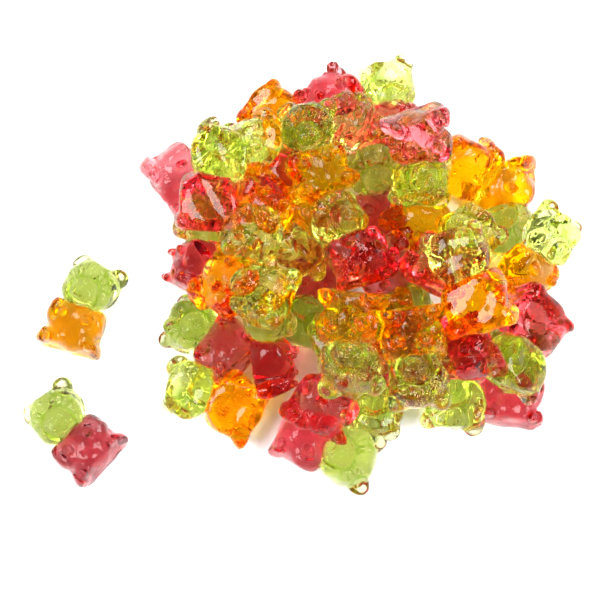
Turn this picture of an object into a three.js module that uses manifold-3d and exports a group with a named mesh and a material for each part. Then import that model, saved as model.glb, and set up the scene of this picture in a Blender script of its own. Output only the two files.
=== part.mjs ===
// A heap of two-colour gummy bears as it lies on a table, with two bears beside it.
// Millimetres, +Z up. The origin is the middle of the heap's underside, on the table.
import * as THREE from "three";
import { mergeVertices } from "three/addons/utils/BufferGeometryUtils.js";
import Module from "manifold-3d";

const wasm = await Module();
wasm.setup();

// ---- One bear. Its own axes: +Y from the seat to the ears, +Z out of the belly, the neck at the origin.
// Each form is an ellipsoid, and a form with a boxiness over 2 has fuller corners.
const BACK_Z = -3.9; // the flat back, which was the open face of the mould
const HEAD = { at: [0, 4.7, -0.1], radii: [5.7, 4.95, 4.7], boxiness: 2.4 };
const MUZZLE = { at: [0, 2.6, 3.6], radii: [2.9, 2.6, 2.1] };
const EAR = { at: [4.5, 8.4, -0.8], radii: [1.9, 1.9, 1.5] };
const TORSO = { at: [0, -5.0, -0.1], radii: [5.3, 5.6, 4.4], boxiness: 2.6 };
const ARM = { at: [4.2, -3.7, 1.6], radii: [2.2, 2.8, 2.7] };
const LEG = { at: [4.7, -8.5, 0.8], radii: [2.3, 1.9, 3.2] };

// A bear in the heap has the arms in its broad chest and few faces: around, and from pole to pole.
const CHEST = { at: [0, -5.0, 0.1], radii: [6.1, 5.4, 4.5], boxiness: 2.6 };
const HEAP_BEAR = { middle: [HEAD, CHEST], sides: [EAR, LEG], faces: { large: [7, 4], limb: [4, 3] } };
const LOOSE_BEAR = {
  middle: [HEAD, TORSO, MUZZLE],
  sides: [EAR, ARM, LEG],
  faces: { large: [10, 6], limb: [7, 5] },
};

// ---- How bears vary: a little in size, and bent and twisted along their length.
const USUAL_SIZE = 1.04; // times the forms above
const SIZE_SPREAD = 0.05;
const BEND_MOST = 0.018; // radians for each mm of length
const TWIST_MOST = 0.012;

// ---- How bears rest on each other: balls that fill a bear, [x, y, z, radius].
const BALLS = [
  [1.8, 3.2, 0.1, 3.8],
  [-1.8, 3.2, 0.1, 3.8],
  [1.8, 6.0, 0.1, 3.8],
  [-1.8, 6.0, 0.1, 3.8],
  [0, 2.6, 3.2, 2.4],
  [4.5, 8.4, -0.8, 1.8],
  [-4.5, 8.4, -0.8, 1.8],
  [1.4, -2.6, 0.1, 3.8],
  [-1.4, -2.6, 0.1, 3.8],
  [1.6, -6.0, 0.1, 3.8],
  [-1.6, -6.0, 0.1, 3.8],
  [4.2, -3.7, 1.6, 2.2],
  [-4.2, -3.7, 1.6, 2.2],
  [4.7, -8.3, 0.8, 2.1],
  [-4.7, -8.3, 0.8, 2.1],
];
const PRESS = 0.6; // how far soft bears press into each other
const NEAR = 26; // mm: a bear laid further off than this can't be touched

// A bear slides, turns and tips until it lies low. Each way of moving has a first step, in mm or radians,
// and a stiffness, which is how hard it is kept where it was put.
const WAYS = [
  { step: 2, stiffness: 0.8 }, // x
  { step: 2, stiffness: 0.8 }, // y
  { step: 0.25, stiffness: 20 }, // heading
  { step: 0.3, stiffness: 10 }, // roll
  { step: 0.3, stiffness: 1.5 }, // tilt, the head up
];
const TILT = 4; // the tilt's place among them
const FIRST_TILTS = [0, -0.5, -0.25, 0.25, 0.5];
const STEEPEST = 0.75;
const SMALLEST_STEP = 0.1; // of the first one
const WORTHWHILE = 1e-6;

// ---- The heap, laid from the table up: [x, y, way the head points in degrees, roll in degrees].
// Roll 0 lies on its back, 180 on its belly.
const HEAP = [
  [5, 36.6, 92, 165],
  [29.8, 13.3, -88, 40],
  [34.8, 3.2, 60, 60],
  [30.2, -23, 90, 0],
  [1.4, -26, -102, 170],
  [19.5, -24.5, -90, 180],
  [-9.2, -38.4, -17, 0],
  [-33.5, -27.5, 159, 160],
  [-37, 5.2, 78, -75],
  [-37.5, 22.9, 25, 60],
  [-17.5, 31.5, -35, 150],
  [-23.6, 22.7, 130, 180],
  [1.9, 17.6, 100, 0],
  [12.8, 5.8, -60, 0],
  [16.8, 21.6, 187, 140],
  [5.5, -4.5, -60, 0],
  [-11.2, -7, -104, 0],
  [-14, 6, -97, 160],
  [-3, -14.5, 190, 180],
  [-5.2, 34.6, -44, 20],
  [31, -17.7, -115, 150],
  [14.4, -20.2, -181, 20],
  [-35.5, -15.2, 142, 10],
  [-23.2, -16.2, 98, 90],
  [-7.8, -26, 57, 30],
  [10, 20.1, -86, 10],
  [-33, 17.4, 76, 180],
  [-12.5, 25, 105, 0],
  [-26.5, -7, -24, 0],
  [8, -21.8, -85, 20],
  [-4.5, -18.5, -93, 0],
  [-23, 6.2, -116, -30],
  [-5, 4.4, 122, 10],
  [17, 3.2, 50, -30],
  [17.8, -5.4, 111, 150],
];
const LOOSE = {
  loose_bear_orange: [-62.3, -8, 69, 0],
  loose_bear_raspberry: [-63.9, -35.1, 134, -12],
};

// ---- The mound of bears that are out of sight, as one solid.
const CORE_RADIUS = 36;
const CORE_HEIGHT = 10;
const CORE_SIDES = 20;
const CORE_STEPS = 4;

const TABLE_SIDE = 300; // the table under it all, which flattens what touches it
const TABLE_THICK = 20;

const JELLY = { roughness: 0.18, metalness: 0 };
const HEAP_COLOUR = 0xe8a02c;
const ORANGE_COLOUR = 0xf79a16;
const RASPBERRY_COLOUR = 0xd9495c;

function solidOf(geometry) {
  const bare = geometry.clone();
  bare.deleteAttribute("normal");
  bare.deleteAttribute("uv");
  const merged = mergeVertices(bare, 1e-4);
  return new wasm.Manifold(
    new wasm.Mesh({
      numProp: 3,
      vertProperties: new Float32Array(merged.attributes.position.array),
      triVerts: new Uint32Array(merged.index.array),
    }),
  );
}

function geometryOf(solid) {
  const mesh = solid.getMesh();
  const geometry = new THREE.BufferGeometry();
  geometry.setAttribute("position", new THREE.BufferAttribute(mesh.vertProperties, 3));
  geometry.setIndex(new THREE.BufferAttribute(mesh.triVerts, 1));
  geometry.computeVertexNormals();
  return geometry;
}

// A rounded form on one side of the bear, its poles to the front and back, flattened at the bear's back.
function rounded({ at, radii, boxiness = 2 }, [around, rings], side = 1) {
  const geometry = new THREE.SphereGeometry(1, around, rings);
  geometry.rotateX(Math.PI / 2);
  const place = geometry.attributes.position;
  const point = new THREE.Vector3();
  for (let i = 0; i < place.count; i++) {
    point.fromBufferAttribute(place, i);
    const sum = point.toArray().reduce((total, part) => total + Math.abs(part) ** boxiness, 0);
    point.multiplyScalar(sum ** (-1 / boxiness)).multiply(new THREE.Vector3(...radii));
    point.add(new THREE.Vector3(side * at[0], at[1], at[2]));
    place.setXYZ(i, point.x, point.y, Math.max(point.z, BACK_Z));
  }
  return solidOf(geometry);
}

function makeBear({ middle, sides, faces }) {
  const pieces = middle.map((form) => rounded(form, faces.large));
  for (const side of [-1, 1]) {
    for (const limb of sides) pieces.push(rounded(limb, faces.limb, side));
  }
  return pieces.reduce((whole, piece) => whole.add(piece));
}

// An even-looking number from -1 to 1 for bear n: the same each time.
function chance(n, salt) {
  const wave = Math.sin(n * 12.9898 + salt * 78.233) * 43758.5453;
  return 2 * (wave - Math.floor(wave)) - 1;
}

// Where a point of the plain bear goes when bear n is cast a little larger, bent and twisted.
function deform(point, n) {
  const size = USUAL_SIZE + SIZE_SPREAD * chance(n, 1);
  const twist = TWIST_MOST * chance(n, 2) * point.y;
  const bend = BEND_MOST * chance(n, 3) * point.y;
  point.multiplyScalar(size);
  point.applyAxisAngle(new THREE.Vector3(0, 1, 0), twist);
  point.applyAxisAngle(new THREE.Vector3(0, 0, 1), bend);
  return point;
}

// Turns the bear's own axes to the heap's: first the roll, then the tilt of its head, then its heading.
function turned(heading, roll, tilt) {
  const spin = new THREE.Matrix4().makeRotationY(roll);
  const lift = new THREE.Matrix4().makeRotationX(tilt);
  const swing = new THREE.Matrix4().makeRotationZ(heading - Math.PI / 2);
  return swing.multiply(lift).multiply(spin);
}

// The balls of bear n in a pose of [x, y, heading, roll, tilt], before it is lifted.
function ballsAt([x, y, heading, roll, tilt], n) {
  const turn = turned(heading, roll, tilt);
  return BALLS.map(([across, along, out, radius]) => {
    const middle = deform(new THREE.Vector3(across, along, out), n).applyMatrix4(turn);
    return { x: middle.x + x, y: middle.y + y, z: middle.z, radius };
  });
}

// How far up balls have to go to lie on the table and on the balls already laid.
function restingLift(balls, laid) {
  let lift = -Infinity;
  for (const ball of balls) {
    lift = Math.max(lift, ball.radius - ball.z);
    for (const other of laid) {
      const reach = ball.radius + other.radius - PRESS;
      const room = reach ** 2 - (ball.x - other.x) ** 2 - (ball.y - other.y) ** 2;
      if (room > 0) lift = Math.max(lift, other.z + Math.sqrt(room) - ball.z);
    }
  }
  return lift;
}

// The pose near the wished one in which bear n lies low, found by ever smaller steps.
function settle(wished, n, laid) {
  const near = laid.filter((ball) => Math.hypot(ball.x - wished[0], ball.y - wished[1]) < NEAR);
  const strain = (pose) =>
    WAYS.reduce((sum, { stiffness }, way) => sum + (stiffness * (pose[way] - wished[way]) ** 2) / 2, 0);
  const cost = (pose) => restingLift(ballsAt(pose, n), near) + strain(pose);
  let best = { pose: wished, cost: Infinity };
  const tryPose = (way, value) => {
    const pose = best.pose.with(way, value);
    const tried = Math.abs(pose[TILT]) > STEEPEST ? Infinity : cost(pose);
    if (tried >= best.cost - WORTHWHILE) return false;
    best = { pose, cost: tried };
    return true;
  };
  for (const tilt of FIRST_TILTS) tryPose(TILT, tilt);
  for (let size = 1; size > SMALLEST_STEP; ) {
    let moved = false;
    WAYS.forEach(({ step }, way) => {
      const from = best.pose[way];
      if (tryPose(way, from + step * size) || tryPose(way, from - step * size)) moved = true;
    });
    if (!moved) size /= 2;
  }
  return best.pose;
}

// The matrix of each bear, laid one after the other.
function layBears(rows) {
  const laid = [];
  return rows.map(([x, y, headingDeg, rollDeg], n) => {
    const wished = [x, y, THREE.MathUtils.degToRad(headingDeg), THREE.MathUtils.degToRad(rollDeg), 0];
    const pose = settle(wished, n, laid);
    const balls = ballsAt(pose, n);
    const lift = restingLift(balls, laid);
    for (const ball of balls) laid.push({ ...ball, z: ball.z + lift });
    return turned(...pose.slice(2)).setPosition(pose[0], pose[1], lift);
  });
}

function placedBear(plain, matrix, n) {
  const point = new THREE.Vector3();
  return plain.warp((vertex) => {
    deform(point.fromArray(vertex), n).applyMatrix4(matrix).toArray(vertex);
  });
}

function makeCore() {
  const profile = [new THREE.Vector2(0, 0)];
  for (let step = 0; step <= CORE_STEPS; step++) {
    const angle = (step / CORE_STEPS) * (Math.PI / 2);
    profile.push(new THREE.Vector2(CORE_RADIUS * Math.cos(angle), CORE_HEIGHT * Math.sin(angle)));
  }
  profile[profile.length - 1].x = 0;
  const dome = new THREE.LatheGeometry(profile, CORE_SIDES);
  dome.rotateX(Math.PI / 2);
  return solidOf(dome);
}

// Presses a solid flat where it meets the table.
function onTable(solid) {
  const table = new THREE.BoxGeometry(TABLE_SIDE, TABLE_SIDE, TABLE_THICK);
  table.translate(0, 0, -TABLE_THICK / 2);
  return solid.subtract(solidOf(table));
}

// The largest body of a solid, which drops loose scraps and fills sealed hollows.
function wholeBody(solid) {
  return solid.decompose().reduce((best, body) => (body.volume() > best.volume() ? body : best));
}

function meshOf(name, solid, color) {
  const mesh = new THREE.Mesh(geometryOf(solid), new THREE.MeshStandardMaterial({ color, ...JELLY }));
  mesh.name = name;
  return mesh;
}

function makeHeap() {
  const plain = makeBear(HEAP_BEAR);
  const bears = layBears(HEAP).map((matrix, n) => placedBear(plain, matrix, n));
  return wholeBody(onTable(bears.reduce((heap, bear) => heap.add(bear), makeCore())));
}

const gummyBears = new THREE.Group();
gummyBears.add(meshOf("bear_heap", makeHeap(), HEAP_COLOUR));
const colours = [ORANGE_COLOUR, RASPBERRY_COLOUR];
const careful = makeBear(LOOSE_BEAR);
Object.entries(LOOSE).forEach(([name, row], n) => {
  const [matrix] = layBears([row]);
  gummyBears.add(meshOf(name, onTable(placedBear(careful, matrix, 0)), colours[n]));
});

export default gummyBears;
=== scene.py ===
"""A heap of clear two-colour gummy bears, with two more lying beside it."""

import math

import bpy
import numpy as np
import openvdb
from mathutils import Matrix, Vector


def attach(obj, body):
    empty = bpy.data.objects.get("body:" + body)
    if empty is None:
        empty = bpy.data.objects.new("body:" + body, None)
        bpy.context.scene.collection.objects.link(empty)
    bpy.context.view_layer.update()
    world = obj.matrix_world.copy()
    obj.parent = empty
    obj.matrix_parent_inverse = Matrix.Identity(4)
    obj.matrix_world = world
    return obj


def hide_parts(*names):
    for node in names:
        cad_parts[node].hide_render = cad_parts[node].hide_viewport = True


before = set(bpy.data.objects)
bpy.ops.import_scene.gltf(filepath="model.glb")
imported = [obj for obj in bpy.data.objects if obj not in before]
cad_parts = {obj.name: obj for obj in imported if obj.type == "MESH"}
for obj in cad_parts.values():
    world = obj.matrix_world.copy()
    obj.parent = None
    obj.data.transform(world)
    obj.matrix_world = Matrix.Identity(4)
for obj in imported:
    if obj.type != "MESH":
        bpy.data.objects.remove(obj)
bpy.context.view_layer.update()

MM = 0.001

# ---------------------------------------------------------------- the bear
# In mm, on the bear's own axes: +Y to its ears, +Z out of its belly, its neck at the origin.

CELL = 0.34  # the grid that the bear is cast on
ROOM = ((-8.0, 8.0), (-12.0, 11.5), (-5.5, 7.6))

BACK_Z = -4.15  # the flat back
BACK_HOLLOW = 0.3  # how far its middle sinks as the jelly sets
BACK_RIM = 1.1

SEAT_Y = -10.9  # the bottom edge, which leans in towards the front
SEAT_LEAN = 0.2
SEAT_RIM = 0.8

GROOVE_DEPTH = 0.8  # the rings round the muzzle and in the paws and soles
GROOVE_HALF = 0.34

MUZZLE = (0, 2.5)  # the middles of the features in the front, seen from the front
NOSE = (0, 3.6)
EYE = (1.9, 6.0)
EAR = (4.6, 8.6)
PAW = (2.7, -3.2)
SOLE = (4.4, -8.6)
MUZZLE_RING = 3.2
PAW_RING = 1.15  # of the soles too

FRINGE_DEPTH = 0.4  # the fringe combed up from the muzzle to the ears
FRINGE_LOCKS = 25  # in a full round
FRINGE_ENDS = (3.7, 5.6)
FRINGE_SWEEP = 1.25  # to each side, in radians
FRINGE_SOFT = (0.4, 0.7, 0.3)  # how gently it begins, ends and stops at its sides

NECK_Y = -0.25  # where green meets the body, and how it leans towards the front
NECK_LEAN = -0.14
NECK_SAG = 0.018
LAP = 0.08  # how far each half runs past the join

FRONT_Z = 2  # where the relief of the front has its full depth
NEVER_ZERO = 1e-9  # keeps the divisions at a form's very middle safe
LEAST_SLOPE = 1e-6


def axes_grid():
    """The three coordinates of every grid point."""
    lines = [np.arange(low, high + CELL, CELL) for low, high in ROOM]
    return np.meshgrid(*lines, indexing="ij")


def lump(where, at, radii, boxiness=2.0):
    """About how far each grid point is outside a rounded form."""
    parts = [np.abs(axis - middle) / radius for axis, middle, radius in zip(where, at, radii)]
    total = sum(part**boxiness for part in parts) + NEVER_ZERO
    reach = total ** (1 / boxiness)
    slope = np.sqrt(
        sum((part ** (boxiness - 1) / radius) ** 2 for part, radius in zip(parts, radii))
    ) * total ** (1 / boxiness - 1)
    return (reach - 1) / (slope + LEAST_SLOPE)


def join(one, other, blend):
    """Both forms together, with a fillet."""
    near = np.maximum(blend - np.abs(one - other), 0) / blend
    return np.minimum(one, other) - near * near * blend / 4


def carve(one, other, blend):
    """The first form without the second."""
    return -join(-one, other, blend)


def ring(where, at, radius, half):
    """1 on a circle seen from the front, fading off over half on both sides of it."""
    out = np.hypot(where[0] - at[0], where[1] - at[1]) - radius
    return np.exp(-((out / half) ** 2))


def on_front(where):
    """1 on the front, 0 at the middle of the bear's thickness and behind it."""
    return np.clip(where[2] / FRONT_Z, 0, 1)


def groove(where, at, radius):
    """A shallow round groove in the front, as a depth to add."""
    return GROOVE_DEPTH * ring(where, at, radius, GROOVE_HALF) * on_front(where)


def locks(where):
    """0 to 1: short strokes fanned out from the muzzle over the forehead."""
    x, y = where[0] - MUZZLE[0], where[1] - MUZZLE[1]
    reach = np.hypot(x, y)
    turn = np.arctan2(x, y)
    inner, outer = FRINGE_ENDS
    begin, end, stop = FRINGE_SOFT
    inside = np.clip((reach - inner) / begin, 0, 1) * np.clip((outer - reach) / end, 0, 1)
    inside *= np.clip((FRINGE_SWEEP - np.abs(turn)) / stop, 0, 1)
    return (0.5 + 0.5 * np.cos(FRINGE_LOCKS * turn)) * inside * on_front(where)


def fringe(where):
    """The strokes as a depth to add."""
    return FRINGE_DEPTH * locks(where)


def relief(points):
    """What the light picks out on a bear, to be painted in as highlight and shade: 1 on its ridges,
    -1 in its grooves.
    """
    x, y, z = points.T
    either = (np.abs(x), y, z)
    ridges = ring(either, MUZZLE, MUZZLE_RING - 0.55, 0.3) + ring(either, NOSE, 0.45, 0.3)
    grooves = ring(either, MUZZLE, MUZZLE_RING + 0.1, 0.34) + ring(either, EYE, 0.3, 0.5)
    for at in (PAW, SOLE):
        ridges += 0.7 * ring(either, at, PAW_RING + 0.6, 0.4) + 0.7 * ring(either, at, 0.2, 0.4)
        grooves += 0.7 * ring(either, at, PAW_RING, 0.3)
    ridges += ring(either, EAR, 0.0, 1.1)
    grooves += ring(either, EAR, 1.75, 0.3)
    # ridges and fringe strokes get painted highlight, grooves get painted shade
    lines = (ridges - grooves) * on_front(either)
    return np.clip(lines + 1.4 * locks(either) - 0.5 * (locks(either) > 0), -1, 1)


def bear_form():
    """How far each grid point is outside the whole bear."""
    x, y, z = axes_grid()
    where = (x, y, z)
    either = (np.abs(x), y, z)  # a form on this lies on both sides

    head = lump(where, (0, 4.7, -0.3), (5.6, 4.9, 4.7), 2.3)
    head = join(head, lump(where, (0, 4.7, -2.2), (5.8, 5.0, 2.6), 2.2), 1.2)  # fuller at the back
    head = join(head, lump(either, (2.8, 2.2, 1.4), (2.5, 2.2, 2.6)), 1.3)  # cheeks
    head = join(head, lump(either, (1.7, 6.9, 2.1), (2.2, 2.1, 2.2)), 1.6)  # brows
    head = join(head, lump(either, (4.4, 8.3, -1.0), (2.1, 2.2, 1.9)), 1.0)  # ears
    head = carve(head, lump(either, (*EAR, 1.3), (1.4, 1.4, 1.5)), 0.5)
    head = join(head, lump(where, (*MUZZLE, 3.4), (2.9, 2.6, 2.7), 2.4), 0.3)
    head = join(head, lump(where, (*NOSE, 5.3), (0.95, 0.6, 0.6)), 0.25)
    head = carve(head, lump(either, (*EYE, 4.5), (0.45, 0.75, 0.75)), 0.2)
    head = carve(head, lump(where, (0, 2.4, 5.9), (0.26, 0.8, 0.6)), 0.15)  # mouth
    head = carve(head, lump(either, (0.7, 1.5, 5.8), (0.75, 0.26, 0.8)), 0.15)
    head = head + groove(where, MUZZLE, MUZZLE_RING) + fringe(where)

    body = lump(where, (0, -5.1, -0.6), (5.3, 5.7, 4.3), 2.6)
    body = join(body, lump(where, (0, -5.5, -2.0), (6.0, 5.8, 2.6), 2.5), 0.8)  # fuller at the back
    body = join(body, lump(where, (0, -5.9, 2.0), (3.4, 3.6, 2.5)), 1.2)  # belly
    arm = lump(either, (4.3, -3.2, 0.2), (2.15, 3.2, 3.3), 2.3)
    arm = join(arm, lump(either, (*PAW, 3.2), (1.7, 1.65, 2.2), 2.3), 0.4)
    arm = arm + groove(either, PAW, PAW_RING)
    body = join(body, arm, 0.6)
    leg = lump(either, (4.6, -9.0, -0.2), (2.6, 2.1, 3.9), 2.3)
    leg = join(leg, lump(either, (*SOLE, 2.7), (2.0, 1.75, 2.0), 2.3), 0.4)
    leg = leg + groove(either, SOLE, PAW_RING)
    body = join(body, leg, 0.6)

    bear = join(head, body, 0.5)
    hollow = BACK_HOLLOW * np.clip(1 - (x / 5.0) ** 2, 0, 1) * np.clip(1 - (y / 10.0) ** 4, 0, 1)
    bear = carve(bear, z - BACK_Z - hollow, BACK_RIM)
    return carve(bear, y - SEAT_Y - SEAT_LEAN * (z - BACK_Z), SEAT_RIM)


def neck_side():
    """Each grid point's height above the join of green and body."""
    x, y, z = axes_grid()
    return y - NECK_Y - NECK_LEAN * z - NECK_SAG * x * x


def cast(form):
    """Vertices in mm and four-sided faces of a form."""
    grid = openvdb.FloatGrid()
    grid.copyFromArray(np.ascontiguousarray(form / CELL, dtype=np.float32))
    points, quads = grid.convertToQuads(0.0)
    corner = np.array([low for low, _ in ROOM])
    return points * CELL + corner, quads


# ---------------------------------------------------------------- laying the bears
# The same rule and the same rows as the solids under them: mm and degrees.

USUAL_SIZE = 1.04  # of the bear as cast above, and how far one bear may differ
SIZE_SPREAD = 0.05
BEND_MOST = 0.018
TWIST_MOST = 0.012

BALLS = (  # x, y, z and radius of the balls that stand for a bear while it is laid
    (1.8, 3.2, 0.1, 3.8),
    (-1.8, 3.2, 0.1, 3.8),
    (1.8, 6.0, 0.1, 3.8),
    (-1.8, 6.0, 0.1, 3.8),
    (0, 2.6, 3.2, 2.4),
    (4.5, 8.4, -0.8, 1.8),
    (-4.5, 8.4, -0.8, 1.8),
    (1.4, -2.6, 0.1, 3.8),
    (-1.4, -2.6, 0.1, 3.8),
    (1.6, -6.0, 0.1, 3.8),
    (-1.6, -6.0, 0.1, 3.8),
    (4.2, -3.7, 1.6, 2.2),
    (-4.2, -3.7, 1.6, 2.2),
    (4.7, -8.3, 0.8, 2.1),
    (-4.7, -8.3, 0.8, 2.1),
)
PRESS = 0.6  # how far soft bears sink into each other
NEAR = 26  # no bear reaches another whose neck is further off
WAYS = ((2, 0.8), (2, 0.8), (0.25, 20), (0.3, 10), (0.3, 1.5))  # step and stiffness
TILT = 4
FIRST_TILTS = (0, -0.5, -0.25, 0.25, 0.5)
STEEPEST = 0.75
SMALLEST_STEP = 0.1
WORTHWHILE = 1e-6

FLAVOUR = 4  # its place in a row
HEAP = (  # the neck's x and y, the heading of the head, the roll, and the body's flavour
    (5, 36.6, 92, 165, "raspberry"),
    (29.8, 13.3, -88, 40, "orange"),
    (34.8, 3.2, 60, 60, "orange"),
    (30.2, -23, 90, 0, "raspberry"),
    (1.4, -26, -102, 170, "raspberry"),
    (19.5, -24.5, -90, 180, "raspberry"),
    (-9.2, -38.4, -17, 0, "raspberry"),
    (-33.5, -27.5, 159, 160, "orange"),
    (-37, 5.2, 78, -75, "raspberry"),
    (-37.5, 22.9, 25, 60, "raspberry"),
    (-17.5, 31.5, -35, 150, "orange"),
    (-23.6, 22.7, 130, 180, "raspberry"),
    (1.9, 17.6, 100, 0, "raspberry"),
    (12.8, 5.8, -60, 0, "orange"),
    (16.8, 21.6, 187, 140, "orange"),
    (5.5, -4.5, -60, 0, "raspberry"),
    (-11.2, -7, -104, 0, "raspberry"),
    (-14, 6, -97, 160, "orange"),
    (-3, -14.5, 190, 180, "orange"),
    (-5.2, 34.6, -44, 20, "raspberry"),
    (31, -17.7, -115, 150, "raspberry"),
    (14.4, -20.2, -181, 20, "raspberry"),
    (-35.5, -15.2, 142, 10, "raspberry"),
    (-23.2, -16.2, 98, 90, "raspberry"),
    (-7.8, -26, 57, 30, "raspberry"),
    (10, 20.1, -86, 10, "raspberry"),
    (-33, 17.4, 76, 180, "raspberry"),
    (-12.5, 25, 105, 0, "orange"),
    (-26.5, -7, -24, 0, "orange"),
    (8, -21.8, -85, 20, "orange"),
    (-4.5, -18.5, -93, 0, "orange"),
    (-23, 6.2, -116, -30, "orange"),
    (-5, 4.4, 122, 10, "raspberry"),
    (17, 3.2, 50, -30, "raspberry"),
    (17.8, -5.4, 111, 150, "orange"),
)
LOOSE = {
    "loose_bear_orange": (-62.3, -8, 69, 0, "orange"),
    "loose_bear_raspberry": (-63.9, -35.1, 134, -12, "raspberry"),
}


def chance(n, salt):
    """An even-looking number from -1 to 1 for bear n: the same each time."""
    wave = math.sin(n * 12.9898 + salt * 78.233) * 43758.5453
    return 2 * (wave - math.floor(wave)) - 1


def deform(points, n):
    """Points of the plain bear when bear n is cast a little larger, bent and twisted."""
    twist = TWIST_MOST * chance(n, 2) * points[:, 1]
    bend = BEND_MOST * chance(n, 3) * points[:, 1]
    x, y, z = points.T * (USUAL_SIZE + SIZE_SPREAD * chance(n, 1))
    x, z = x * np.cos(twist) + z * np.sin(twist), z * np.cos(twist) - x * np.sin(twist)
    x, y = x * np.cos(bend) - y * np.sin(bend), x * np.sin(bend) + y * np.cos(bend)
    return np.stack((x, y, z), axis=1)


def turned(heading, roll, tilt):
    """Turns the bear's own axes to the heap's: the roll, then the tilt, then the heading."""
    swing = Matrix.Rotation(heading - math.pi / 2, 3, "Z")
    return np.array(swing @ Matrix.Rotation(tilt, 3, "X") @ Matrix.Rotation(roll, 3, "Y"))


def placed(points, pose, lift=0.0):
    """Points on a bear's own axes, put where the pose and the lift put the bear."""
    x, y, heading, roll, tilt = pose
    return points @ turned(heading, roll, tilt).T + (x, y, lift)


def resting_lift(centres, radii, laid):
    """How high the bear has to be lifted to rest on the table and on the balls already laid."""
    lift = (radii - centres[:, 2]).max()
    if not len(laid):
        return lift
    reach = radii[:, None] + laid[None, :, 3] - PRESS
    apart = ((centres[:, None, :2] - laid[None, :, :2]) ** 2).sum(axis=2)
    touching = reach * reach > apart
    rise = np.sqrt(np.where(touching, reach * reach - apart, 0))
    over = laid[None, :, 2] + rise - centres[:, None, 2]
    return max(lift, np.where(touching, over, -math.inf).max())


def settle(wished, n, laid):
    """Slides, turns and tilts bear n a little from its wished pose to where it lies lowest."""
    balls = np.array(BALLS)
    plain = deform(balls[:, :3], n)
    radii = balls[:, 3]
    near = laid[((laid[:, :2] - wished[:2]) ** 2).sum(axis=1) < NEAR**2]
    best = {"pose": list(wished), "cost": math.inf}

    def attempt(way, value):
        pose = list(best["pose"])
        pose[way] = value
        if abs(pose[TILT]) > STEEPEST:
            return False
        strains = (hold * (now - wish) ** 2 / 2 for now, wish, (_, hold) in zip(pose, wished, WAYS))
        cost = resting_lift(placed(plain, pose), radii, near) + sum(strains)
        if cost >= best["cost"] - WORTHWHILE:
            return False
        best.update(pose=pose, cost=cost)
        return True

    for tilt in FIRST_TILTS:
        attempt(TILT, tilt)
    size = 1.0
    while size > SMALLEST_STEP:
        moved = False
        for way, (step, _) in enumerate(WAYS):
            now = best["pose"][way]
            if attempt(way, now + step * size) or attempt(way, now - step * size):
                moved = True
        if not moved:
            size /= 2
    centres = placed(plain, best["pose"])
    lift = resting_lift(centres, radii, near)
    return best["pose"], lift, np.column_stack((centres + (0, 0, lift), radii))


def lay(rows):
    """The settled pose and lift of each bear, laid one after the other."""
    laid = np.zeros((0, 4))
    poses = []
    for n, (x, y, heading, roll, _) in enumerate(rows):
        wished = (x, y, math.radians(heading), math.radians(roll), 0)
        pose, lift, balls = settle(wished, n, laid)
        laid = np.vstack((laid, balls))
        poses.append((pose, lift))
    return poses


# ---------------------------------------------------------------- materials


class Wire:
    """The output of a material's node, which sums in Python build on."""

    def __init__(self, coat, socket):
        self.coat = coat
        self.socket = socket

    def math(self, operation, *others):
        return self.coat.math(operation, self, *others)

    def __add__(self, other):
        return self.math("ADD", other)

    __radd__ = __add__

    def __mul__(self, other):
        return self.math("MULTIPLY", other)

    __rmul__ = __mul__

    def __sub__(self, other):
        return self.math("SUBTRACT", other)

    def __rsub__(self, other):
        return self.coat.math("SUBTRACT", other, self)


class Coat:
    """One material, made node by node."""

    def __init__(self, name, tree=None):
        if tree is None:
            self.material = bpy.data.materials.new(name)
            self.material.use_nodes = True
            tree = self.material.node_tree
        self.tree = tree
        self.tree.nodes.clear()

    def node(self, kind, settings=None, sockets=None, output=0):
        """A node of that kind, its settings set before its sockets are given values or wires."""
        made = self.tree.nodes.new(kind)
        for name, value in (settings or {}).items():
            setattr(made, name, value)
        for name, value in (sockets or {}).items():
            if isinstance(value, Wire):
                self.tree.links.new(value.socket, made.inputs[name])
            else:
                made.inputs[name].default_value = value
        return Wire(self, made.outputs[output]) if made.outputs else None

    def math(self, operation, *values):
        return self.node("ShaderNodeMath", {"operation": operation}, dict(enumerate(values)))

    def between(self, value, low, high):
        """0 where value is under low, 1 where it is over high, and smooth between."""
        sockets = {"Value": value, "From Min": low, "From Max": high}
        return self.node("ShaderNodeMapRange", {"interpolation_type": "SMOOTHSTEP"}, sockets)

    def mix(self, part, one, other):
        """A colour between two."""
        settings = {"data_type": "RGBA"}
        return self.node("ShaderNodeMix", settings, {0: part, 6: one, 7: other}, 2)

    def noise(self, where, scale, detail=2.0, stretch=(1, 1, 1)):
        """Soft noise from 0 to 1."""
        stretched = self.node(
            "ShaderNodeVectorMath", {"operation": "MULTIPLY"}, {0: where, 1: stretch}
        )
        sockets = {"Vector": stretched, "Scale": scale, "Detail": detail}
        return self.node("ShaderNodeTexNoise", None, sockets)

    def parts(self, where):
        """The x, y and z of a vector."""
        split = self.node("ShaderNodeSeparateXYZ", None, {0: where})
        return [Wire(self, socket) for socket in split.socket.node.outputs]


JELLY_IOR = 1.43
JELLY_GLOSS = 0.5  # of what a clean surface of that index reflects
THICKNESS = 9 * MM  # of a bear
FUR = 0.1  # heights in mm of the fur on the body, what the head has more, and the back's creases
HEAD_FUR = 0.13
CREASE = 0.4
FRONT_BEGINS = (-0.5, 1.5)  # z on the bear's own axes, in mm, over which it begins
BACK_ENDS = (-3.6, -2.6)
HEAD_BEGINS = (-1.5, 0.5)  # y
FUR_FROM = (0.55, 0.68)  # the noise over which a tuft comes up
SMEARS_FROM = (0.5, 0.8)  # and over which the gloss is smeared
SMEAR = 0.05
TONES = (-0.2, 0.62)  # from the tint to the pale tint: painted shade in the grooves to painted highlight on the ridges, over the jelly's own uneven tone


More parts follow.
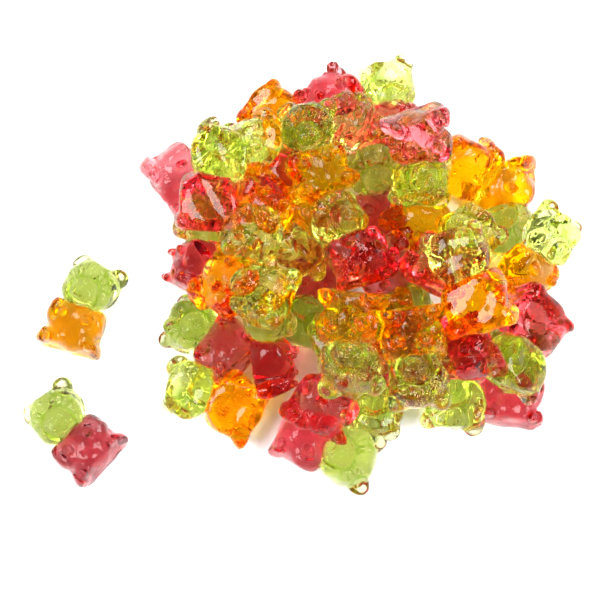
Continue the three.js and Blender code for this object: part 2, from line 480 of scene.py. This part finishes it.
def jelly(name, tint, pale, left):
    """Clear jelly: coloured by how far light goes through it, glossy, with a sparse fur on its
    front and creases on its back. Its surface goes from tint in the grooves, as painted shade, to
    pale on the ridges, as painted highlight, with painted glints and shade in strokes on its front.

    What is left of red, green and blue light after a bear's thickness gives its depth."""
    coat = Coat(name)
    own = coat.node("ShaderNodeAttribute", {"attribute_name": "own"}, None, 1)
    bear = coat.node("ShaderNodeAttribute", {"attribute_name": "bear"}, None, 2)
    # the relief: painted highlight on ridges, painted shade in grooves
    lines = coat.node("ShaderNodeAttribute", {"attribute_name": "relief"}, None, 2)
    _, y, z = coat.parts(own)

    front = coat.between(z, *FRONT_BEGINS)
    back = 1 - coat.between(z, *BACK_ENDS)
    head = coat.between(y, *HEAD_BEGINS)
    tufts = coat.noise(own, scale=1.0, detail=0.5, stretch=(1.9, 0.7, 1.0))
    fur = coat.between(tufts, *FUR_FROM) * front
    creases = coat.noise(own, scale=0.22, detail=1.0, stretch=(0.6, 1.5, 1.0)) * back
    height = fur * (FUR + head * HEAD_FUR) + creases * CREASE
    bump = coat.node("ShaderNodeBump", None, {"Strength": 1.0, "Distance": MM, "Height": height})

    # stroke-like flecks on the front: painted glints and painted shade standing in for the fur's
    # small highlights
    glint_flecks = (coat.noise(own, scale=0.9, stretch=(2.2, 0.9, 1.2)) - 0.5) * front
    # the noise and the bear's number give the jelly's own uneven tone; the relief lines and the
    # flecks add painted highlight and shade
    tone = coat.noise(own, scale=0.35) + bear * 0.12 + lines * 0.7 + glint_flecks
    colour = coat.mix(coat.between(tone, *TONES), tint, pale)
    rough = coat.between(coat.noise(own, scale=0.6, detail=4.0), *SMEARS_FROM) * SMEAR
    surface = coat.node(
        "ShaderNodeBsdfPrincipled",
        None,
        {
            "Base Color": colour,
            "Roughness": rough,
            "IOR": JELLY_IOR,
            "Specular Tint": (JELLY_GLOSS, JELLY_GLOSS, JELLY_GLOSS, 1),
            "Transmission Weight": 1.0,
            "Normal": bump,
        },
    )
    taken = [-math.log(share) / THICKNESS for share in left]
    density = max(taken)
    kept = [1 - each / density for each in taken] + [1]
    depth = coat.node("ShaderNodeVolumeAbsorption", None, {"Color": kept, "Density": density})
    coat.node("ShaderNodeOutputMaterial", None, {"Surface": surface, "Volume": depth})
    return coat.material


# The surface's tint and pale tint, the light left after a bear's thickness, and the loose bears'
# share of that, which paints shade into the loose bears by making their jelly darker than the
# heap's.
COLOURS = {
    "green_jelly": ((0.40, 0.58, 0.10, 1), (1.0, 1.0, 0.95, 1), (0.77, 0.845, 0.33), 0.84),
    "orange_jelly": ((0.80, 0.36, 0.05, 1), (1.0, 1.0, 0.7, 1), (1.0, 0.555, 0.001), 0.77),
    "raspberry_jelly": ((0.55, 0.12, 0.16, 1), (1.0, 0.95, 0.95, 1), (0.88, 0.22, 0.26), 0.67),
}
JELLIES = {}
for slot, (tint, pale, left, share) in COLOURS.items():
    JELLIES[slot, "heap"] = jelly(slot + "_heap", tint, pale, left)
    # a darker copy of each jelly for the loose bears: painted shade
    JELLIES[slot, "loose"] = jelly(slot + "_loose", tint, pale, [share * each for each in left])


# ---------------------------------------------------------------- pieces

DENT = 0.13  # mm that one wave of unevenness moves a point
DENT_SALTS = range(4, 10)  # one for each wave
DENT_TIGHTEST = 1.15  # the most that a wave turns in 1 mm, in radians
DENT_SHIFT = 9  # how far a wave's start may differ, in radians


def dented(points, n):
    """Uneven bears: each has its own slow dents."""
    waves = np.zeros_like(points)
    for salt in DENT_SALTS:
        way = np.array([chance(n, salt), chance(n, salt + 0.3), chance(n, salt + 0.7)])
        push = np.array([chance(n, salt + 0.4), chance(n, salt + 0.1), chance(n, salt + 0.9)])
        wave = np.sin(points @ (way * DENT_TIGHTEST) + DENT_SHIFT * chance(n, salt + 0.5))
        waves += wave[:, None] * push
    return points + DENT * waves


def store(mesh, name, kind, field, values):
    """Keeps a number or a vector for each vertex."""
    kept = mesh.attributes.new(name, kind, "POINT")
    kept.data.foreach_set(field, np.ascontiguousarray(values, dtype=np.float32).ravel())


def jelly_piece(name, plain, bears, slot, node, batch="heap"):
    """One mesh of the same half of several bears, each (index, pose, lift), flat where it would
    sink into the table."""
    own, quads = plain
    places = []
    for n, pose, lift in bears:
        points = placed(deform(dented(own, n), n), pose, lift)
        points[:, 2] = np.maximum(points[:, 2], 0)
        places.append(points)
    faces = [quads + k * len(own) for k in range(len(bears))]
    mesh = bpy.data.meshes.new(name)
    mesh.from_pydata(np.concatenate(places) * MM, [], np.concatenate(faces))
    mesh.shade_smooth()
    store(mesh, "own", "FLOAT_VECTOR", "vector", np.tile(own, (len(bears), 1)))
    # where painted highlight and painted shade go on each bear
    store(mesh, "relief", "FLOAT", "value", np.tile(relief(own), len(bears)))
    store(mesh, "bear", "FLOAT", "value", np.repeat([chance(n, 21) for n, _, _ in bears], len(own)))
    piece = bpy.data.objects.new(name, mesh)
    bpy.context.scene.collection.objects.link(piece)
    mesh.materials.append(JELLIES[slot, batch])
    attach(piece, "root")
    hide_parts(node)


def heap_pieces(name, layers, plain, bears, slot):
    """The same half of the heap's bears, in one mesh for each layer from the bottom up."""
    share = math.ceil(len(bears) / len(layers))
    for k, layer in enumerate(layers):
        jelly_piece(name + layer, plain, bears[k * share : (k + 1) * share], slot, "bear_heap")


form = bear_form()
side = neck_side()
HEAD = cast(np.maximum(form, -side - LAP))
BODY = cast(np.maximum(form, side - LAP))

bears = [(n, *laid) for n, laid in enumerate(lay(HEAP))]
orange = [bear for bear in bears if HEAP[bear[0]][FLAVOUR] == "orange"]
raspberry = [bear for bear in bears if HEAP[bear[0]][FLAVOUR] == "raspberry"]
heap_pieces("green_heads", ("_under", "_middle", "_over"), HEAD, bears, "green_jelly")
heap_pieces("orange_bodies", ("",), BODY, orange, "orange_jelly")
heap_pieces("raspberry_bodies", ("_under", "_over"), BODY, raspberry, "raspberry_jelly")
for node, row in LOOSE.items():
    pose, lift = lay([row])[0]
    # the loose bears wear the darker jelly copies, as painted shade
    jelly_piece(node + "_head", HEAD, [(0, pose, lift)], "green_jelly", node, "loose")
    jelly_piece(node + "_body", BODY, [(0, pose, lift)], row[FLAVOUR] + "_jelly", node, "loose")


# ---------------------------------------------------------------- floor, light and camera

FLOOR_REACH = 1.5
FLOOR_HEIGHT = -0.02 * MM


def pale_floor():
    """A plain pale table top."""
    coat = Coat("pale_floor")
    paint = {"Base Color": (0.85, 0.85, 0.85, 1), "Roughness": 0.7}
    surface = coat.node("ShaderNodeBsdfPrincipled", None, paint)
    coat.node("ShaderNodeOutputMaterial", None, {"Surface": surface})
    mesh = bpy.data.meshes.new("floor")
    ways = ((-1, -1), (1, -1), (1, 1), (-1, 1))
    corners = [(a * FLOOR_REACH, b * FLOOR_REACH, FLOOR_HEIGHT) for a, b in ways]
    mesh.from_pydata(corners, [], [(0, 1, 2, 3)])
    mesh.materials.append(coat.material)
    floor = bpy.data.objects.new("floor", mesh)
    bpy.context.scene.collection.objects.link(floor)


# Each soft box: degrees round from the front and up, its width and height in m, and its watts.
SOFT_BOXES = {
    "soft_left": (-70, 48, (1.5, 1.5), 128),
    "soft_right": (75, 50, (1.5, 1.5), 128),
    "soft_back": (178, 42, (1.6, 1.3), 103),
}
BOX_DISTANCE = 3.0
BEYOND = 1.0  # how bright the white surroundings are past the table, low down and overhead
HORIZON = 0.6
OVERHEAD = 0.1
CEILING = 0.45  # where overhead starts, as the height of a direction of length 1
DIM_BAND = 0.01  # and how far below level it dims from beyond the table to low down
BOUNCES = 32  # light goes in and out of many bears


def soft_box(name, azimuth, elevation, size, power):
    """A lamp with a broad face turned to the heap."""
    light = bpy.data.lights.new(name, "AREA")
    light.shape = "RECTANGLE"
    light.size, light.size_y = size
    light.energy = power
    lamp = bpy.data.objects.new(name, light)
    around, up = math.radians(azimuth), math.radians(elevation)
    level = math.cos(up)
    away = Vector((math.sin(around) * level, -math.cos(around) * level, math.sin(up)))
    lamp.location = away * BOX_DISTANCE
    lamp.rotation_euler = away.to_track_quat("Z", "Y").to_euler()
    bpy.context.scene.collection.objects.link(lamp)


def studio():
    """White surroundings, three soft boxes, and enough bounces for clear jelly."""
    world = bpy.data.worlds.new("studio")
    bpy.context.scene.world = world
    world.use_nodes = True
    sky = Coat("sky", world.node_tree)
    place = sky.node("ShaderNodeTexCoord")
    _, _, up = sky.parts(place)
    glow = BEYOND + (HORIZON - BEYOND) * sky.between(up, -DIM_BAND, 0.0)
    glow = glow + (OVERHEAD - HORIZON) * sky.between(up, 0.0, CEILING)
    light = sky.node("ShaderNodeBackground", None, {"Color": (1, 1, 1, 1), "Strength": glow})
    sky.node("ShaderNodeOutputWorld", None, {"Surface": light})
    for name, box in SOFT_BOXES.items():
        soft_box(name, *box)
    cycles = bpy.context.scene.cycles
    cycles.max_bounces = cycles.transmission_bounces = cycles.glossy_bounces = BOUNCES
    bpy.context.scene.view_settings.view_transform = "Standard"


CAMERA_AIM = (-0.01628, -0.00506, 0.0)
CAMERA_ELEVATION = math.radians(80)
CAMERA_DISTANCE = 0.25
FRAME_WIDTH = 0.1298  # what the picture's width takes in at that distance
SENSOR = 36.0


def camera():
    """The camera, which looks down on the heap from the front."""
    lens = bpy.data.cameras.new("camera")
    lens.sensor_width = SENSOR
    lens.lens = SENSOR * CAMERA_DISTANCE / FRAME_WIDTH
    lens.clip_start = 0.01
    eye = bpy.data.objects.new("camera", lens)
    away = Vector((0, -math.cos(CAMERA_ELEVATION), math.sin(CAMERA_ELEVATION)))
    eye.location = Vector(CAMERA_AIM) + away * CAMERA_DISTANCE
    eye.rotation_euler = away.to_track_quat("Z", "Y").to_euler()
    bpy.context.scene.collection.objects.link(eye)
    bpy.context.scene.camera = eye


pale_floor()
studio()
camera()
